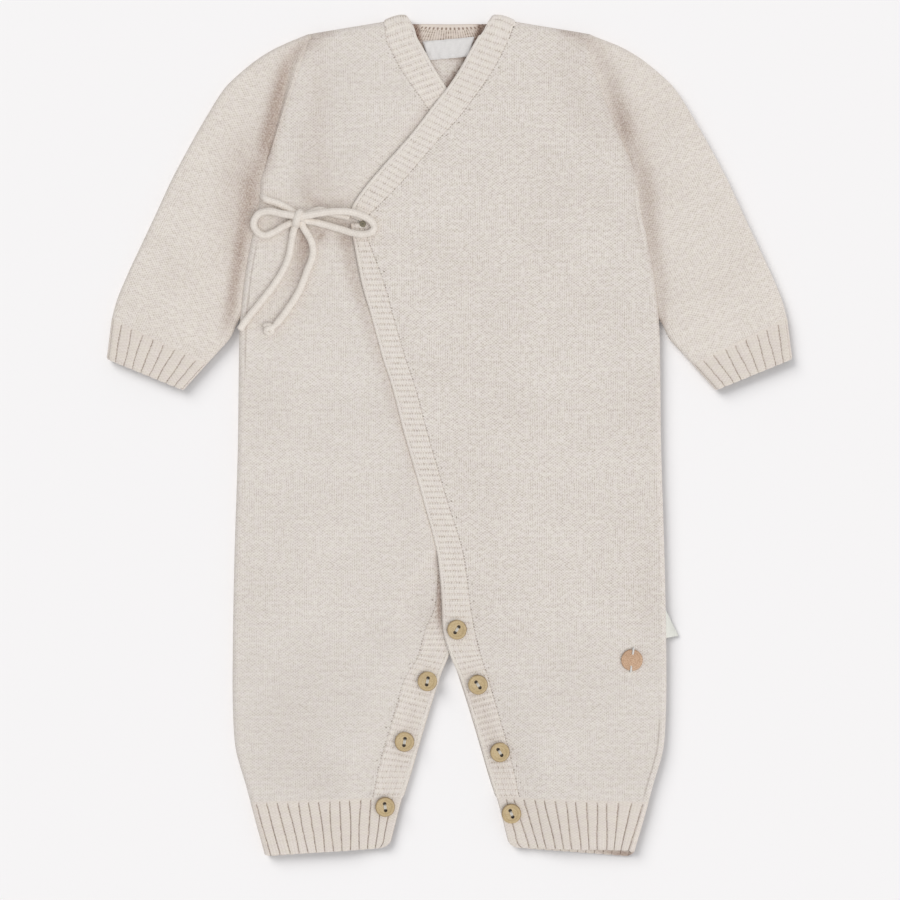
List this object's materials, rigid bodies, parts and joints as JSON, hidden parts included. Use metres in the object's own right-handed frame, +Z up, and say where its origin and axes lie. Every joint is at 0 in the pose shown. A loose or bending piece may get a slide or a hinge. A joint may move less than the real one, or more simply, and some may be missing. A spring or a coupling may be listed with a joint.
{
  "type": "baby romper",
  "caption": "Knitted wrap romper for a newborn, with ribbed bands, a bow of knitted cord at the side and small wooden buttons down the inside of the legs; it lies flat, face up.",
  "frame": {"origin": "centre of the outline, on the flat surface that the back rests on", "axes": "+Y from the ankles to the neck, +X to the right of someone looking down at the front, +Z up out of the front"},
  "size_m": [0.3692, 0.4519, 0.0148],
  "materials": {
    "body_knit": "matt stockinette knit, beige heather",
    "sleeve_knit": "matt stockinette knit, a little greyer",
    "rib_knit": "matt rib knit",
    "knitted_cord": "matt knitted cord",
    "button_wood": "satin olive wood",
    "disc_wood": "matt pinkish brown wood",
    "woven_label": "plain woven satin",
    "side_tag_tape": "plain woven tape"
  },
  "bodies": {
    "root": {"back": "body_knit", "front_over": "body_knit", "front_under": "body_knit", "sleeve_left": "sleeve_knit", "sleeve_right": "sleeve_knit", "ankle_left": "rib_knit", "ankle_right": "rib_knit", "back_leg_band": "rib_knit", "cuff_left": "rib_knit", "cuff_right": "rib_knit", "neck_band": "rib_knit", "over_wrap_band": "rib_knit", "under_wrap_band": "rib_knit", "tie_end_knot": "knitted_cord", "tie_knot": "knitted_cord", "tie_left_lead": "knitted_cord", "tie_left_loop": "knitted_cord", "tie_left_tail": "knitted_cord", "tie_right_lead": "knitted_cord", "tie_right_loop": "knitted_cord", "tie_right_tail": "knitted_cord", "button_crotch": "button_wood", "button_left_ankle": "button_wood", "button_left_middle": "button_wood", "button_left_top": "button_wood", "button_right_ankle": "button_wood", "button_right_middle": "button_wood", "button_right_top": "button_wood", "trim_disc": "disc_wood", "neck_label": "woven_label", "side_tag": "side_tag_tape"}
  },
  "joints": []
}
